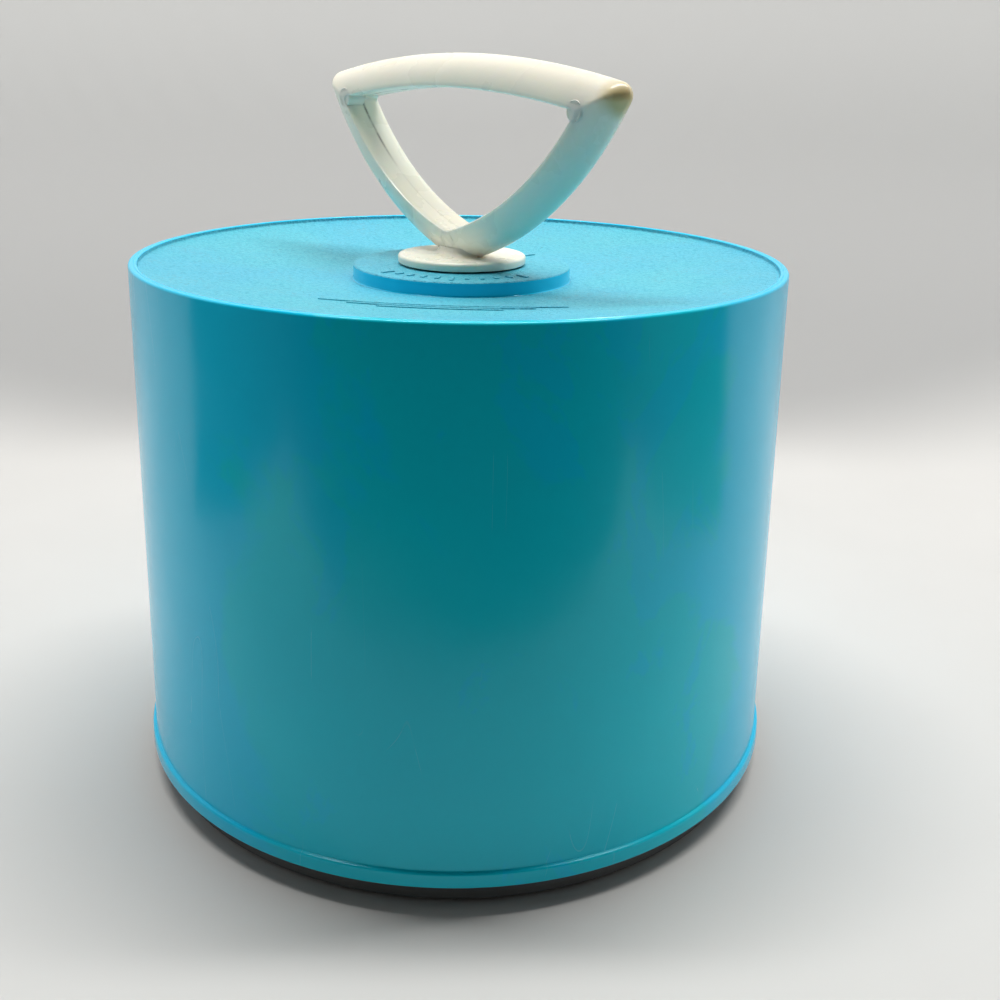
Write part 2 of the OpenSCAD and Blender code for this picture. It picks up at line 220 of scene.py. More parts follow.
class Finish:
    """A procedural material on Object coordinates, built up from a few kinds of node."""

    def __init__(self, name, **sockets):
        self.material = bpy.data.materials.new(name)
        self.material.use_nodes = True
        self.tree = self.material.node_tree
        self.shader = self.tree.nodes["Principled BSDF"]
        for key, value in sockets.items():
            self.shader.inputs[key.replace("_", " ")].default_value = value
        self.place = self.tree.nodes.new("ShaderNodeTexCoord").outputs["Object"]

    def put(self, socket, value):
        """Links a node's output to a socket, or sets the socket to a number or colour."""
        if isinstance(value, bpy.types.NodeSocket):
            self.tree.links.new(value, socket)
        elif isinstance(value, (tuple, list)) and len(value) == 3 and socket.type == "RGBA":
            socket.default_value = (*value, 1)
        else:
            socket.default_value = value

    def set(self, **sockets):
        """Sets or links the shader's own sockets."""
        for key, value in sockets.items():
            self.put(self.shader.inputs[key.replace("_", " ")], value)

    def stretched(self, scale, shift=(0, 0, 0)):
        """Object coordinates scaled by a factor on each axis, then shifted."""
        node = self.tree.nodes.new("ShaderNodeMapping")
        node.inputs["Scale"].default_value = scale
        node.inputs["Location"].default_value = shift
        self.put(node.inputs["Vector"], self.place)
        return node.outputs[0]

    def noise(self, scale, detail=2, roughness=0.5, distortion=0, place=None):
        """Cloudy noise with features about 1 / scale metres across."""
        node = self.tree.nodes.new("ShaderNodeTexNoise")
        for key, value in (
            ("Scale", scale),
            ("Detail", detail),
            ("Roughness", roughness),
            ("Distortion", distortion),
        ):
            node.inputs[key].default_value = value
        self.put(node.inputs["Vector"], place or self.place)
        return node.outputs[0]

    def cells(self, scale, output="Distance"):
        """Voronoi cells 1 / scale metres across: the distance to the nearest point, or a cell's colour."""
        node = self.tree.nodes.new("ShaderNodeTexVoronoi")
        node.inputs["Scale"].default_value = scale
        self.put(node.inputs["Vector"], self.place)
        return node.outputs[output]

    def band(self, value, low, high, at_low=0.0, at_high=1.0):
        """Smooth step from at_low to at_high as value goes from low to high."""
        node = self.tree.nodes.new("ShaderNodeMapRange")
        node.interpolation_type = "SMOOTHSTEP"
        for index, item in enumerate((value, low, high, at_low, at_high)):
            self.put(node.inputs[index], item)
        return node.outputs[0]

    def math(self, operation, a, b=0.0):
        """One step of arithmetic, named as Blender's Math node names it."""
        node = self.tree.nodes.new("ShaderNodeMath")
        node.operation = operation
        self.put(node.inputs[0], a)
        self.put(node.inputs[1], b)
        return node.outputs[0]

    def product(self, *values):
        """The product of several masks or numbers."""
        total = values[0]
        for value in values[1:]:
            total = self.math("MULTIPLY", total, value)
        return total

    def mix(self, a, b, share):
        """Colour a turning into colour b as share goes from 0 to 1. In a colour mix the node's sockets 6
        and 7 are the two colours."""
        node = self.tree.nodes.new("ShaderNodeMix")
        node.data_type = "RGBA"
        self.put(node.inputs[0], share)
        self.put(node.inputs[6], a)
        self.put(node.inputs[7], b)
        return node.outputs[2]

    def axis(self, name):
        """One of the Object coordinates, X, Y or Z."""
        node = self.tree.nodes.new("ShaderNodeSeparateXYZ")
        self.put(node.inputs[0], self.place)
        return node.outputs[name]

    def radius(self):
        """Distance from the Z axis."""
        squares = [self.product(self.axis(name), self.axis(name)) for name in "XY"]
        return self.math("SQRT", self.math("ADD", *squares))

    def near(self, point, inner, outer, ragged=0.0):
        """Mask that is 1 within inner metres of a point and fades to 0 at outer, its edge pushed about
        by noise."""
        node = self.tree.nodes.new("ShaderNodeVectorMath")
        node.operation = "DISTANCE"
        self.put(node.inputs[0], self.place)
        node.inputs[1].default_value = point
        away = node.outputs["Value"]
        if ragged:
            push = self.product(self.math("SUBTRACT", self.noise(90, 4), 0.5), ragged * 2)
            away = self.math("ADD", away, push)
        return self.band(away, inner, outer, 1.0, 0.0)

    def facing(self, direction):
        """How far the way out from the Z axis is turned to a level direction, from -1 to 1."""
        flat = self.tree.nodes.new("ShaderNodeVectorMath")
        flat.operation = "MULTIPLY"
        self.put(flat.inputs[0], self.place)
        flat.inputs[1].default_value = (1, 1, 0)
        unit = self.tree.nodes.new("ShaderNodeVectorMath")
        unit.operation = "NORMALIZE"
        self.put(unit.inputs[0], flat.outputs[0])
        dot = self.tree.nodes.new("ShaderNodeVectorMath")
        dot.operation = "DOT_PRODUCT"
        self.put(dot.inputs[0], unit.outputs[0])
        dot.inputs[1].default_value = (*direction, 0)
        return dot.outputs["Value"]

    def bump(self, height, distance, strength=1.0, normal=None):
        """Surface normal pushed about by a height, which is in units of distance, in metres."""
        node = self.tree.nodes.new("ShaderNodeBump")
        node.inputs["Strength"].default_value = strength
        node.inputs["Distance"].default_value = distance
        self.put(node.inputs["Height"], height)
        if normal is not None:
            self.put(node.inputs["Normal"], normal)
        return node.outputs[0]

    def specks(self, scale, size, share):
        """Mask of small round specks of about size metres, in a share of the cells."""
        close = self.band(self.cells(scale), size * scale * 0.6, size * scale, 1.0, 0.0)
        tint = self.tree.nodes.new("ShaderNodeSeparateColor")
        self.put(tint.inputs[0], self.cells(scale, "Color"))
        return self.product(close, self.math("LESS_THAN", tint.outputs[0], share))

    def hairlines(self, scale, width, place, sparse):
        """Mask of thin wandering scratches: the level line of a noise, kept where another is high."""
        level = self.noise(scale, 1, 0.4, 0.6, place)
        away = self.math("ABSOLUTE", self.math("SUBTRACT", level, 0.5))
        line = self.band(away, width * 0.4, width, 1.0, 0.0)
        return self.product(line, self.band(self.noise(sparse, 3), 0.56, 0.62))


# Colours, as linear red, green and blue
FRESH_BLUE = (0.001, 0.58, 0.89)
AGED_TEAL = (0.002, 0.62, 0.78)
DEEP_BLUE = (0.002, 0.42, 0.66)
PALE_SCUFF = (0.20, 0.55, 0.66)
PALE_CHIP = (0.55, 0.75, 0.8)
DARK_SPECK = (0.012, 0.06, 0.08)
PLATE_BLUE = (0.07, 0.50, 0.69)
PLATE_TEAL = (0.08, 0.53, 0.66)
# Painted shade: the darker blue laid in the hollows of the plate's stipple
PLATE_HOLLOW_SHADE = (0.02, 0.34, 0.50)
DUST = (0.45, 0.52, 0.52)
CREAM = (0.935, 0.90, 0.775)
YELLOWED_CREAM = (0.90, 0.84, 0.66)
STAIN = (0.60, 0.47, 0.17)
GRIME = (0.10, 0.075, 0.045)
BROWN_SPECK = (0.16, 0.11, 0.06)
MANILA = (0.66, 0.53, 0.33)
PALE_MANILA = (0.73, 0.62, 0.42)
DARK_MANILA = (0.58, 0.45, 0.26)
FOXING = (0.48, 0.35, 0.18)
PAPER = (0.57, 0.565, 0.555)
PAPER_CLOUD = (0.585, 0.58, 0.57)
# Painted shade for the paper where the sweep starts to rise behind the case
SWEEP_FOOT_SHADE = (0.34, 0.34, 0.34)
PAPER_FAR = (0.56, 0.56, 0.555)
LAMP = (1.0, 0.985, 0.96)
ROOM_GLOW = (0.01, 0.01, 0.01)
ROOM_SEEN = (0.55, 0.55, 0.55)


def shell_colour(finish):
    """Fresh blue plastic, turned greener on the side that light has aged. The change has a cloudy edge
    and islands that have kept their blue. The boss, well inside the wall, has kept its blue too."""
    cloud = finish.math("SUBTRACT", finish.noise(13, 5, 0.6, 0.5), 0.5)
    turn = finish.math("ADD", finish.facing(AGED_SIDE), finish.product(cloud, 1.2))
    aged = finish.band(turn, 0.74, 0.84)
    island_place = finish.stretched((1, 1, 0.6), (3, 1, 2))
    island = finish.band(finish.noise(36, 5, 0.62, 0.8, island_place), 0.55, 0.60)
    kept = finish.math("SUBTRACT", 1.0, finish.product(island, 0.7))
    outer = finish.band(finish.radius(), BOSS_R + 5 * MM, BOSS_R + 20 * MM)
    colour = finish.mix(FRESH_BLUE, AGED_TEAL, finish.product(aged, kept, outer))
    return finish.mix(colour, DEEP_BLUE, finish.band(finish.noise(7, 3), 0.4, 0.75, 0.0, 0.4))


def glossy_shell():
    """The cover's wall: polished styrene with rubbed patches, hairline scratches and a few specks."""
    finish = Finish("blue_wall", IOR=1.52, Specular_Tint=(0.55, 0.93, 1.0, 1.0))
    scratches = finish.hairlines(45, 0.0012, finish.stretched((1, 1, 0.15)), 26)
    specks = finish.specks(55, 0.0004, 0.14)
    chips = finish.specks(34, 0.0006, 0.04)
    colour = finish.mix(shell_colour(finish), PALE_SCUFF, finish.product(scratches, 0.16))
    colour = finish.mix(colour, DARK_SPECK, finish.product(specks, 0.7))
    colour = finish.mix(colour, PALE_CHIP, finish.product(chips, 0.8))
    rubbed = finish.band(finish.noise(24, 5, 0.6), 0.4, 0.7, 0.15, 0.23)
    roughness = finish.math("ADD", rubbed, finish.product(scratches, 0.12))
    waves = finish.bump(finish.noise(38, 1), 0.00025)
    grain = finish.bump(finish.noise(900, 2), 0.00002, 0.6, waves)
    finish.set(Base_Color=colour, Roughness=roughness, Normal=grain)
    return finish.material


def stippled_plate():
    """The cover's dished top: the same plastic with a moulded stipple, dusty and darkened by painted shade
    in its hollows.
    """
    finish = Finish("blue_plate", IOR=1.5)
    stipple = finish.noise(950, 3, 0.65)
    dusty = finish.band(finish.noise(60, 5, 0.65), 0.4, 0.75)
    hollows = finish.product(finish.band(stipple, 0.5, 0.3), dusty)
    specks = finish.specks(130, 0.0005, 0.3)
    colour = finish.mix(PLATE_BLUE, PLATE_TEAL, finish.band(finish.noise(20, 4), 0.35, 0.65))
    # Painted shade: the stipple's low points are darkened, as if shadowed
    colour = finish.mix(colour, PLATE_HOLLOW_SHADE, finish.band(stipple, 0.52, 0.36, 0.0, 0.55))
    colour = finish.mix(colour, DUST, finish.product(hollows, 0.35))
    colour = finish.mix(colour, DARK_SPECK, finish.product(specks, 0.75))
    normal = finish.bump(stipple, 0.001, 1.0, finish.bump(finish.noise(420, 1), 0.0005, 0.7))
    finish.set(Base_Color=colour, Roughness=finish.band(stipple, 0.3, 0.7, 0.5, 0.36), Normal=normal)
    return finish.material


def cream_handle():
    """The handle: cream plastic with a soft glow, stained at one corner and grimy along the parting
    line of its inner face, most of all at the other corner."""
    finish = Finish("cream_moulding", IOR=1.49, Subsurface_Weight=0.25, Subsurface_Scale=0.003)
    finish.set(Subsurface_Radius=(1.0, 0.75, 0.45))
    parting = finish.tree.nodes.new("ShaderNodeAttribute")
    parting.attribute_name = "parting"
    smudge = finish.band(finish.noise(150, 3, 0.6, 0.3), 0.32, 0.55, 0.35)
    elsewhere = 0.12
    corner = finish.product(finish.near(GRIME_AT, 0.010, 0.024), 1 - elsewhere)
    grime = finish.product(parting.outputs["Fac"], smudge, finish.math("ADD", corner, elsewhere))
    stain = finish.near(STAIN_AT, 0.0022, 0.0075, 0.003)
    yellowed = finish.band(finish.noise(35, 4, 0.6), 0.45, 0.75, 0.0, 0.45)
    colour = finish.mix(CREAM, YELLOWED_CREAM, yellowed)
    colour = finish.mix(colour, STAIN, finish.product(stain, 0.8))
    colour = finish.mix(colour, GRIME, finish.product(grime, 0.85))
    colour = finish.mix(colour, BROWN_SPECK, finish.product(finish.specks(130, 0.0004, 0.2), 0.7))
    roughness = finish.band(finish.noise(60, 4), 0.35, 0.7, 0.24, 0.36)
    normal = finish.bump(finish.noise(700, 2), 0.00003, 0.7, finish.bump(finish.noise(120, 1), 0.00012))
    finish.set(Base_Color=colour, Roughness=roughness, Normal=normal)
    return finish.material


def moulded(name, colour, shade, roughness, grain, depth, specks=None):
    """Plain moulded plastic, rubber or fibre: two close shades, an uneven shine, a fine grain and, if
    they have a colour, specks."""
    finish = Finish(name, IOR=1.48)
    mixed = finish.mix(colour, shade, finish.band(finish.noise(28, 5, 0.6), 0.35, 0.68))
    if specks:
        mixed = finish.mix(mixed, specks, finish.product(finish.specks(110, 0.0004, 0.3), 0.6))
    shine = finish.band(finish.noise(50, 4), 0.3, 0.7, roughness - 0.06, roughness + 0.07)
    finish.set(Base_Color=mixed, Roughness=shine, Normal=finish.bump(finish.noise(grain, 3), depth))
    return finish.material


def metal(name, colour, stain, roughness, brushed=(1, 1, 1)):
    """Plated or blued steel: a drawn grain, dull blooms and a darker stain."""
    finish = Finish(name, Metallic=1.0)
    bloom = finish.band(finish.noise(260, 5, 0.6), 0.42, 0.7)
    grain = finish.noise(2400, 3, 0.6, 0, finish.stretched(brushed))
    drawn = finish.band(grain, 0.3, 0.7, roughness - 0.06, roughness + 0.08)
    shine = finish.math("ADD", drawn, finish.product(bloom, 0.1))
    finish.set(Base_Color=finish.mix(colour, stain, bloom), Roughness=shine,
               Normal=finish.bump(grain, 0.00001))
    return finish.material


def board():
    """The dividers: pressed manila board with long fibres and a little foxing."""
    finish = Finish("manila_board", IOR=1.45)
    fibres = finish.noise(1100, 4, 0.6, 0.3, finish.stretched((0.25, 1, 1)))
    colour = finish.mix(MANILA, PALE_MANILA, finish.band(fibres, 0.35, 0.65))
    colour = finish.mix(colour, FOXING, finish.product(finish.specks(150, 0.0006, 0.25), 0.5))
    colour = finish.mix(colour, DARK_MANILA, finish.band(finish.noise(18, 5), 0.45, 0.75, 0.0, 0.6))
    finish.set(Base_Color=colour, Roughness=0.8, Normal=finish.bump(fibres, 0.00008))
    return finish.material


# ---------------------------------------------------------------- the cover


def wall_r(z):
    """Radius of the drafted wall at height z, on the line from the rim's top to the lip."""
    return MOUTH_R - (MOUTH_R - LIP_R) * (z - RIM_TOP) / (LIP_Z - RIM_TOP)


def plate_z(r):
    """Height of the dished plate at radius r: it falls as r squared, from the lip to the boss."""
    share = 1 - (r * r - BOSS_R**2) / (LIP_INNER_R**2 - BOSS_R**2)
    return PLATE_EDGE_Z - DISH_DROP * share


def plate_run(outer, inner, drop, steps):
    """Corners along the dished plate, lowered by drop, from one radius to the other."""
    r = np.linspace(outer, inner, steps)
    return [(a, b, 0) for a, b in zip(r, plate_z(r) - drop)]


def cover_profile():
    """Closed profile of the moulded cover: up the outside over the rim and the wall, over the lip with
    its fine groove, down the dish, over the boss, round the hub, and back down the inside."""
    groove_r, groove_w, groove_d = LIP_R - 1.45 * MM, 0.16 * MM, 0.13 * MM
    boss_low = BOSS_TOP - WALL
    well_r = BOSS_R - WALL
    inner_top = plate_z(LIP_INNER_R) - WALL
    corners = [
        (wall_r(MOUTH_Z) - WALL, MOUTH_Z, 0.4 * MM),
        (RIM_R, MOUTH_Z, 0.45 * MM),
        (RIM_R - 0.25 * MM, RIM_TOP, 0.75 * MM),
        (wall_r(RIM_TOP), RIM_TOP - 0.1 * MM, 0.35 * MM),
        (LIP_R, LIP_Z, 0.75 * MM),
        (groove_r + groove_w, LIP_Z, 0),
        (groove_r, LIP_Z - groove_d, 0),
        (groove_r - groove_w, LIP_Z, 0),
        (LIP_INNER_R, LIP_Z, 0.35 * MM),
        (LIP_INNER_R - 0.05 * MM, PLATE_EDGE_Z, 0.5 * MM),
        *plate_run(LIP_INNER_R - 1.5 * MM, BOSS_R + 1.5 * MM, 0, 26),
        (BOSS_R + 0.05 * MM, plate_z(BOSS_R), 0.5 * MM),
        (BOSS_R, BOSS_TOP, 0.55 * MM),
        (BORE_R, BOSS_TOP, 0.3 * MM),
        (BORE_R, HUB_Z, 0.2 * MM),
        (HUB_R, HUB_Z, 0.3 * MM),
        (HUB_R, boss_low, 0.5 * MM),
        (well_r, boss_low, 0.5 * MM),
        *plate_run(well_r, wall_r(inner_top) - WALL - 2.5 * MM, WALL, 20),
        (wall_r(inner_top) - WALL, inner_top - 0.1 * MM, 2 * MM),
    ]
    return rounded_path(corners, True)


def raised_bar(x, width, length, turn, base):
    """Low raised bar across direction turn, at distance x from the middle, as points, faces and the
    fans that close its ends. Its outline and its section are superellipses: s^12 + t^12 = 1 along and
    across, and t^6 + z^6 = 1 in section, in shares of half its length, half its width and its height.
    It is cut off where it has narrowed to half, falls a little there, and is sunk into base(r)."""
    sunk, least, end_rise = 0.5 * MM, 0.5, 0.35
    s = -np.cos(np.linspace(0, math.pi, 41))
    taper = np.maximum((1 - np.abs(s) ** 12) ** (1 / 12), least)[:, None]
    a = np.linspace(0, math.pi, 17)
    across = np.sign(np.cos(a)) * np.abs(np.cos(a)) ** (1 / 3)
    across = np.concatenate([across, [-1.0, 1.0]])
    rise = np.concatenate([np.sin(a) ** (1 / 3) * TRIM_H, [-sunk, -sunk]])
    px = x + width / 2 + across * taper * width / 2
    py = (s * length / 2)[:, None] + 0 * px
    z = base(np.hypot(px, py)) + np.minimum(rise, rise * (end_rise + (1 - end_rise) * taper))
    c, d = math.cos(turn), math.sin(turn)
    points = np.stack([px * c - py * d, px * d + py * c, z], -1)
    ends = [points[0].mean(0), points[-1].mean(0)]
    faces = grid_faces(len(s), len(across), False, True)[:, ::-1]
    fans = end_fans(len(s), len(across))[:, ::-1]
    return np.concatenate([points.reshape(-1, 3), ends]), faces, fans


def block(x, width, length, low, high, turn):
    """Eight corners and six faces of a rib that starts at x and runs out along direction turn."""
    c, d = math.cos(turn), math.sin(turn)
    px = np.array([x, x + length, x + length, x] * 2)
    py = np.array([-1, -1, 1, 1] * 2) * width / 2
    z = np.repeat([low, high], 4)
    points = np.stack([px * c - py * d, px * d + py * c, z], -1)
    faces = [[3, 2, 1, 0], [4, 5, 6, 7], [0, 1, 5, 4], [1, 2, 6, 5], [2, 3, 7, 6], [3, 0, 4, 7]]
    return points, np.array(faces)


def make_cover(wall_finish, plate_finish):
    """The moulded cover with its rim, lip, dish, boss and hub, and four ribs under the boss."""
    profile = cover_profile()
    middle = (profile + np.roll(profile, -1, 0)) / 2
    r, z = middle.T
    on_plate = (r < LIP_INNER_R) & (r > BORE_R) & (z > plate_z(r) - MM)
    boss_side = (np.abs(r - BOSS_R) < 0.4 * MM) & (z < BOSS_TOP - 0.3 * MM)
    shells = Shells()
    shells.add_turned(profile, 384, (on_plate & ~boss_side).astype(int))
    rib_w, rib_length = 2 * MM, BOSS_R - WALL - HUB_R + 2 * MM
    rib_low, rib_high = HUB_Z + 2 * MM, BOSS_TOP - WALL + MM
    for quarter in range(4):
        shells.add(*block(HUB_R - MM, rib_w, rib_length, rib_low, rib_high, quarter * math.pi / 2))
    return shells.piece("cover_shell", "cover", "cover", [wall_finish, plate_finish])


def make_trim(finish):
    """Plain raised bars on the dish where a maker would put a name, and arcs of ticks on the boss."""
    shells = Shells()
    for x, width, length in ((46.4, 2.2, 64), (50.2, 1.4, 48), (53.2, 1.4, 32)):
        points, faces, fans = raised_bar(x * MM, width * MM, length * MM, TRIM_TURN, plate_z)
        shells.add(points, faces, fans=fans)
    tick_r, tick_w, tick_turn = 24.4 * MM, 1.2 * MM, math.radians(9)
    for side in (0, math.pi):
        for i in range(-5, 6):
            reach = (4.2 if i % 5 == 0 else 2.6) * MM
            turn = TRIM_TURN + side + tick_turn * i
            points, faces, fans = raised_bar(tick_r, reach, tick_w, turn, lambda r: BOSS_TOP + 0 * r)
            shells.add(points, faces, fans=fans)
    return shells.piece("cover_trim", "cover", "cover", [finish])


# ---------------------------------------------------------------- the handle


def outline_gap(x, z, inset, radius):
    """Distance inwards from the loop's outline, moved in by inset, its two upper corners rounded. The
    outline is one arc along the top and one down each leg."""
    top = LOOP_TOP_R - np.hypot(x - TOP_CENTRE[0], z - TOP_CENTRE[1]) - inset
    leg = LOOP_LEG_R - np.hypot(np.abs(x) - LEG_CENTRE[0], z - LEG_CENTRE[1]) - inset
    rounded = radius - np.hypot(radius - top, radius - leg)
    return np.where((top < radius) & (leg < radius), rounded, np.minimum(top, leg))


def loop_edge(angles, inset, radius):
    """Points where rays from the loop's middle meet its outline, found by halving the distance."""
    ux, uz = np.cos(angles), np.sin(angles)
    near, far = np.zeros_like(angles), np.full_like(angles, 0.12)
    for _ in range(30):
        half = (near + far) / 2
        inside = outline_gap(LOOP_CENTRE[0] + half * ux, LOOP_CENTRE[1] + half * uz, inset, radius) > 0
        near, far = np.where(inside, half, near), np.where(inside, far, half)
    return np.stack([LOOP_CENTRE[0] + near * ux, LOOP_CENTRE[1] + near * uz], -1)


def half_depth(x, z):
    """Half the loop's depth: a rounded crown, (1 - (1 - out / height)^p)^(1 / p), that falls to nothing
    at the outline, and inner edges eased by a quarter round."""
    out = np.clip(outline_gap(x, z, 0, CORNER_R), 0, CROWN_H)
    inner = np.clip(-outline_gap(x, z, LOOP_T, INNER_CORNER_R), 0, EDGE_R)
    crown = (1 - (1 - out / CROWN_H) ** CROWN_POWER) ** (1 / CROWN_POWER)
    return LOOP_DEPTH / 2 * crown - EDGE_R + np.sqrt(EDGE_R**2 - (EDGE_R - inner) ** 2)


def loop_shell():
    """Closed grid of the loop. Each ray from its middle gives one section: out along the front, back
    along the rear and across the flat inner face, where a low flash line marks the parting."""
    stations, steps = 720, 22
    angles = math.radians(-90) + np.arange(stations) * 2 * math.pi / stations
    inner = loop_edge(angles, LOOP_T, INNER_CORNER_R)
    outer = loop_edge(angles, 0, CORNER_R)
    share = np.sin(np.linspace(0, math.pi / 2, steps)) ** 1.25
    flat = inner[:, None, :] + share[None, :, None] * (outer - inner)[:, None, :]
    x, z = flat[..., 0], flat[..., 1]
    depth = half_depth(x, z)
    depth[:, -1] = 0
    front = np.stack([x, -depth, z], -1)
    rear = np.stack([x, depth, z], -1)[:, -2::-1]
    side = np.array([0.75, 0.35, 0.16, 0.1, 0.06, 0.03, 0.015])
    across = np.concatenate([side, [0.0], -side[::-1]])
    flash_h, grime_w = 0.04 * MM, 0.4 * MM
    raised = np.where(np.abs(across) < 0.02, flash_h, 0.0)
    inward = LOOP_CENTRE - inner
    inward /= np.linalg.norm(inward, axis=1)[:, None]
    face = inner[:, None, :] + raised[None, :, None] * inward[:, None, :]
    wide = depth[:, :1] * across[None, :]
    bridge = np.stack([face[..., 0], wide, face[..., 1]], -1)
    points = np.concatenate([front, rear, bridge], 1)
    parting = np.zeros(points.shape[:2])
    parting[:, -len(across):] = np.exp(-((wide / grime_w) ** 2))
    faces = grid_faces(stations, points.shape[1], True, True)
    return points, faces, parting.ravel()


def foot_profile():
    """Profile of the round foot and the stud under it, its flat top divided finely for the fillet."""
    corners = [
        (0, STUD_Z, 0), (STUD_R, STUD_Z, 0.5 * MM), (STUD_R, FOOT_Z, 0.2 * MM),
        (FOOT_R - 0.1 * MM, FOOT_Z, 0.35 * MM), (FOOT_R, FOOT_TOP, 0.9 * MM),
    ]
    rim = rounded_path(corners + [(0, FOOT_TOP, 0)], False)[:-1]
    fine = np.linspace(rim[-1, 0], 0, 60)[1:]
    return np.concatenate([rim, np.stack([fine, np.full_like(fine, FOOT_TOP)], -1)])


def fillet_rise(x, y):
    """Height of the concave fillet at distance d from the legs' footprint: R - sqrt(R^2 - (R - d)^2).
    The footprint is a superellipse a little inside the legs."""
    radius, power = 2.2 * MM, 2.6
    leg_x = math.sqrt(LOOP_LEG_R**2 - (LEG_CENTRE[1] - FOOT_TOP) ** 2) + LEG_CENTRE[0]
    reach_x, reach_y = leg_x - 1.2 * MM, LOOP_DEPTH / 2 - 1.0 * MM
    grown = (np.abs(x / reach_x) ** power + np.abs(y / reach_y) ** power) ** (1 / power)
    away = np.hypot(x, y) * (1 - 1 / np.maximum(grown, 1e-6))
    gap = np.clip(radius - away, 0, radius)
    return radius - np.sqrt(radius**2 - gap**2)


def pad_profile(face):
    """Profile of an ejector pad, from its back at the parting plane to its face, with a fine groove."""
    groove_r, groove_w, groove_d = PAD_R - 0.4 * MM, 0.14 * MM, 0.12 * MM
    return rounded_path([
        (0, 0.2 * MM, 0), (PAD_R, 0.2 * MM, 0.3 * MM), (PAD_R, face, 0.25 * MM),
        (groove_r + groove_w, face, 0), (groove_r, face - groove_d, 0), (groove_r - groove_w, face, 0),
        (0, face, 0),
    ], False)


def low_ring():
    """The third pin's mark, low on the loop: a fine raised line round a circle, laid on the surface."""
    around = 64
    a = np.arange(around) * 2 * math.pi / around
    line = np.array([(-0.16, -0.3), (-0.1, 0.045), (0.1, 0.045), (0.16, -0.3)]) * MM
    r = PAD_R - 0.3 * MM + line[:, :1]
    x, z = r * np.cos(a), LOW_RING_Z + r * np.sin(a)
    faces = grid_faces(len(line), around, True, True)[:, ::-1]
    return np.stack([x, -half_depth(x, z) - line[:, 1:], z], -1), faces


def make_handle(finish):
    """The loop handle with its round foot, stud and square tang, ejector pads in its two upper corners
    and the third pin's ring. The pads stand on its front half, towards -Y."""
    shells = Shells()
    points, faces, parting = loop_shell()
    shells.add(points, faces, 0, parting)
    shells.add_disc(foot_profile(), 192)
    foot = shells.points[-1]
    on_top = foot[:, 2] > FOOT_TOP - 0.01 * MM
    foot[on_top, 2] += fillet_rise(foot[on_top, 0], foot[on_top, 1])
    shells.add(*block(-TANG_W / 2, TANG_W, TANG_W, HANDLE_LOW.z, STUD_Z + MM, 0))
    for side in (-1, 1):
        shells.add_disc(pad_profile(half_depth(PAD_X, PAD_Z) - PAD_SINK), 64)
        pad = shells.points[-1]
        pad[:] = np.stack([side * PAD_X + pad[:, 0], -pad[:, 2], PAD_Z + pad[:, 1]], -1)
    shells.add(*low_ring())
    return shells.piece("handle_loop", "handle", "handle", [finish])


# ---------------------------------------------------------------- kept nodes


def refinish(node, material):
    """Gives a kept node of the frame its finish."""
    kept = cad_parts[node]
    kept.data.materials.clear()
    kept.data.materials.append(material)


def finish_kept_nodes():
    """Finishes for every node that keeps the frame's own shape."""
    black = moulded("black_moulding", (0.056, 0.058, 0.058), (0.072, 0.074, 0.073),
                    0.45, 1300, 0.00006, (0.09, 0.09, 0.085))
    cream = moulded("cream_post", (0.72, 0.66, 0.51), (0.76, 0.71, 0.57),
                    0.34, 700, 0.00004, (0.3, 0.23, 0.14))
    rubber = moulded("foot_rubber", (0.012, 0.012, 0.012), (0.022, 0.021, 0.02), 0.72, 1500, 0.0001)
    fibre = moulded("black_fibre", (0.012, 0.011, 0.01), (0.022, 0.019, 0.016), 0.6, 1800, 0.00006)
    spring = metal("blued_spring", (0.36, 0.37, 0.4), (0.2, 0.2, 0.24), 0.28, (1, 1, 0.1))
    plate = metal("zinc_plate", (0.62, 0.63, 0.62), (0.42, 0.42, 0.4), 0.3, (0.1, 1, 1))
    screw = metal("zinc_screw", (0.6, 0.6, 0.58), (0.36, 0.34, 0.3), 0.32)
    card = board()
    refinish("base_pan", black)
    for node in ("spindle", "lock_cam"):
        refinish(node, cream)
    refinish("thrust_washer", fibre)
    refinish("spring_washer", spring)
    refinish("lock_plate", plate)
    for node in ("cam_washer", "cam_screw", "lock_plate_screws", "spindle_screws"):
        refinish(node, screw)
    for number in range(1, 5):
        refinish(f"rubber_foot_{number}", rubber)
        refinish(f"index_divider_{number}", card)


# ---------------------------------------------------------------- stage, light and camera

LAMP_Z = 1.5
EDGE = 0.72
SIDE = 0.40
MIRRORED_TO = 0.31
BOUNCING_TO = 0.37


def floor_height(r):
    """A level floor that turns up into a sweep beyond the case, then runs on up a steep slope."""
    flat_r, curve_r, steepest = 0.36, 0.24, math.radians(76)
    t = r - flat_r
    end = curve_r * math.sin(steepest)
    curve = curve_r - np.sqrt(np.maximum(curve_r**2 - np.clip(t, 0, end) ** 2, 0))
    return curve + np.maximum(t - end, 0) * math.tan(steepest)


def studio_finish():
    """Pale paper, with painted shade on the floor behind the case and low on the sweep where it starts to
    rise, and a little greyer high up all round.
    """
    finish = Finish("studio_paper", Roughness=0.62)
    back = finish.tree.nodes.new("ShaderNodeVectorMath")
    back.operation = "DOT_PRODUCT"
    finish.put(back.inputs[0], finish.place)
    back.inputs[1].default_value = (-FRONT[0], -FRONT[1], 0)
    away = finish.tree.nodes.new("ShaderNodeVectorMath")
    away.operation = "LENGTH"
    finish.put(away.inputs[0], finish.place)
    behind = finish.band(back.outputs["Value"], 0.24, 0.38)
    rise = finish.math("MAXIMUM", behind, finish.band(away.outputs["Value"], 0.5, 0.7))
    cloud = finish.band(finish.noise(9, 3), 0.3, 0.7, 0.0, 1.0)
    pale = finish.mix(PAPER, PAPER_CLOUD, cloud)
    # Painted shade: the paper is dark at the sweep's foot and plain again higher up
    far = finish.mix(SWEEP_FOOT_SHADE, PAPER_FAR, finish.band(finish.axis("Z"), 0.03, 0.24))
    finish.set(Base_Color=finish.mix(pale, far, rise))
    return finish.material


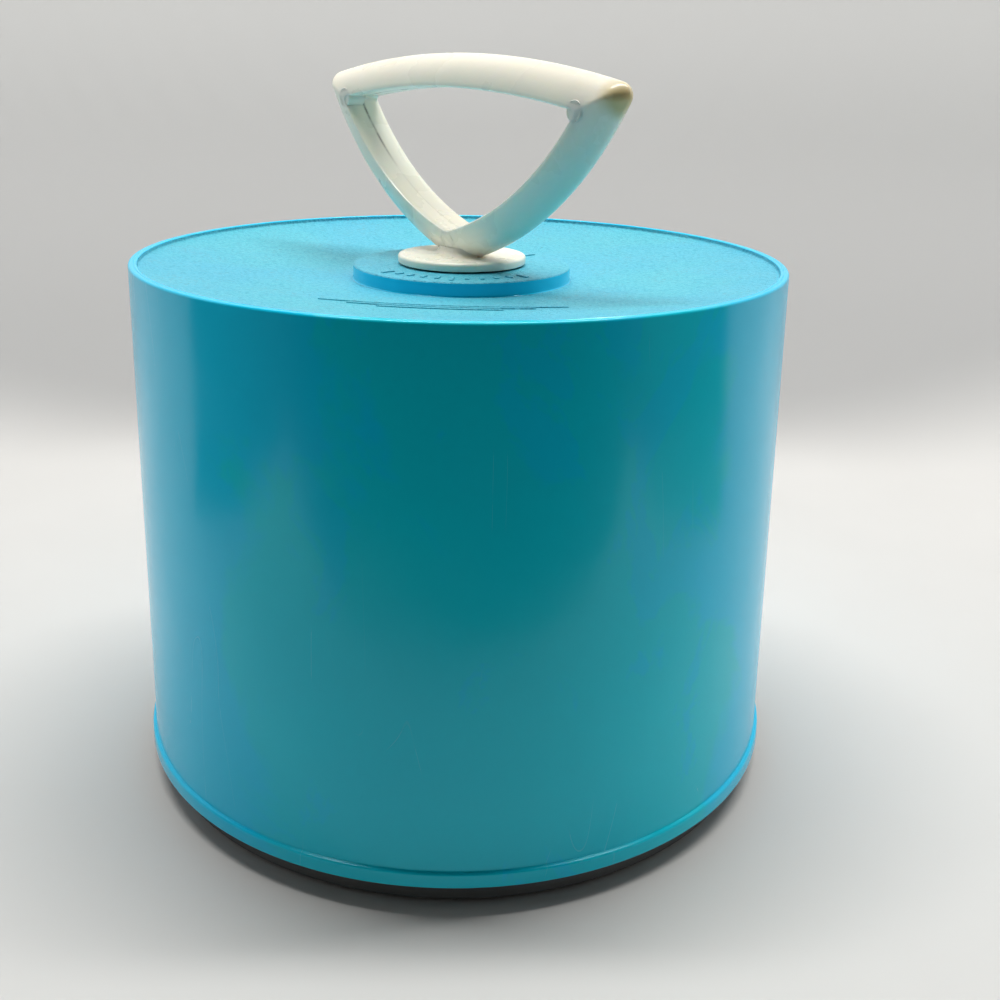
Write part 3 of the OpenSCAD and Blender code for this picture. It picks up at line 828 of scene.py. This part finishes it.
def make_floor(name, along, across, finish, reflected=True, bounces=True):
    """Part of the floor, as a height over a grid: a range of distances towards the camera's side and a
    range across. It can be left out of reflections, and out of the light that the floor gives back."""
    cell = 0.012
    lines = [np.linspace(low, high, max(5, int((high - low) / cell))) for low, high in (along, across)]
    a, b = np.meshgrid(*lines, indexing="ij")
    x, y = a * FRONT[0] + b * RIGHT[0], a * FRONT[1] + b * RIGHT[1]
    points = np.stack([x, y, floor_height(np.hypot(x, y))], -1)
    mesh = bpy.data.meshes.new(name)
    mesh.from_pydata(points.reshape(-1, 3).tolist(), [], grid_faces(*a.shape).tolist())
    mesh.materials.append(finish)
    mesh.shade_smooth()
    made = bpy.data.objects.new(name, mesh)
    bpy.context.scene.collection.objects.link(made)
    made.visible_glossy = reflected
    made.visible_diffuse = bounces


def make_light(name, along, across, size, power):
    """A level lamp, at a distance towards the camera's side and one to its right. Its size is across
    and along."""
    data = bpy.data.lights.new(name, "AREA")
    data.shape = "RECTANGLE"
    data.size, data.size_y = size
    data.energy = power
    data.color = LAMP
    light = bpy.data.objects.new(name, data)
    light.location = (*(FRONT * along + RIGHT * across), LAMP_Z)
    light.rotation_euler = (0, 0, CAMERA_TURN)
    bpy.context.scene.collection.objects.link(light)


def make_world():
    """A dim even room for light and reflections, and a pale one behind the floor."""
    world = bpy.data.worlds.new("studio_room")
    bpy.context.scene.world = world
    world.use_nodes = True
    tree = world.node_tree
    ray = tree.nodes.new("ShaderNodeLightPath")
    mix = tree.nodes.new("ShaderNodeMix")
    mix.data_type = "RGBA"
    mix.inputs[6].default_value = (*ROOM_GLOW, 1)
    mix.inputs[7].default_value = (*ROOM_SEEN, 1)
    tree.links.new(ray.outputs["Is Camera Ray"], mix.inputs[0])
    tree.links.new(mix.outputs[2], tree.nodes["Background"].inputs["Color"])


def make_camera():
    """The camera stands close in front of the case and looks down on it, rolled a little."""
    data = bpy.data.cameras.new("camera")
    data.lens = 41
    data.sensor_width = 36
    camera = bpy.data.objects.new("camera", data)
    distance, height = 0.3354, 0.2059
    heading, tilt, roll = math.radians(48.64), math.radians(90 - 20.97), math.radians(1.254)
    turn = Matrix.Rotation(heading, 4, "Z") @ Matrix.Rotation(tilt, 4, "X")
    turn = turn @ Matrix.Rotation(roll, 4, "Z")
    place = Matrix.Translation((FRONT[0] * distance, FRONT[1] * distance, height))
    camera.matrix_world = place @ turn
    bpy.context.scene.collection.objects.link(camera)
    bpy.context.scene.camera = camera


def make_studio():
    """Floor, lights and room. In front and at the sides the pale floor ends, for reflections and then
    for the light it gives back, as if a dim room began there. A long narrow lamp hangs across just
    behind the middle, and a broad soft one farther back."""
    paper = studio_finish()
    make_floor("studio_floor_back", (-EDGE, 0), (-EDGE, EDGE), paper)
    make_floor("studio_floor", (0, MIRRORED_TO), (-SIDE, SIDE), paper)
    make_floor("studio_floor_near", (MIRRORED_TO, BOUNCING_TO), (-SIDE, SIDE), paper, False)
    make_floor("studio_floor_left", (0, BOUNCING_TO), (-EDGE, -SIDE), paper, False)
    make_floor("studio_floor_right", (0, BOUNCING_TO), (SIDE, EDGE), paper, False)
    make_floor("studio_floor_outer", (BOUNCING_TO, EDGE), (-EDGE, EDGE), paper, False, False)
    make_light("tube", -0.125, 0.1, (1.5, 0.11), 24)
    make_light("soft_panel", -0.28, 0.1, (1.5, 0.3), 5.5)
    make_world()


make_camera()
make_studio()
make_cover(glossy_shell(), stippled_plate())
make_trim(stippled_plate())
make_handle(cream_handle())
finish_kept_nodes()

bpy.context.scene.view_settings.view_transform = "Standard"
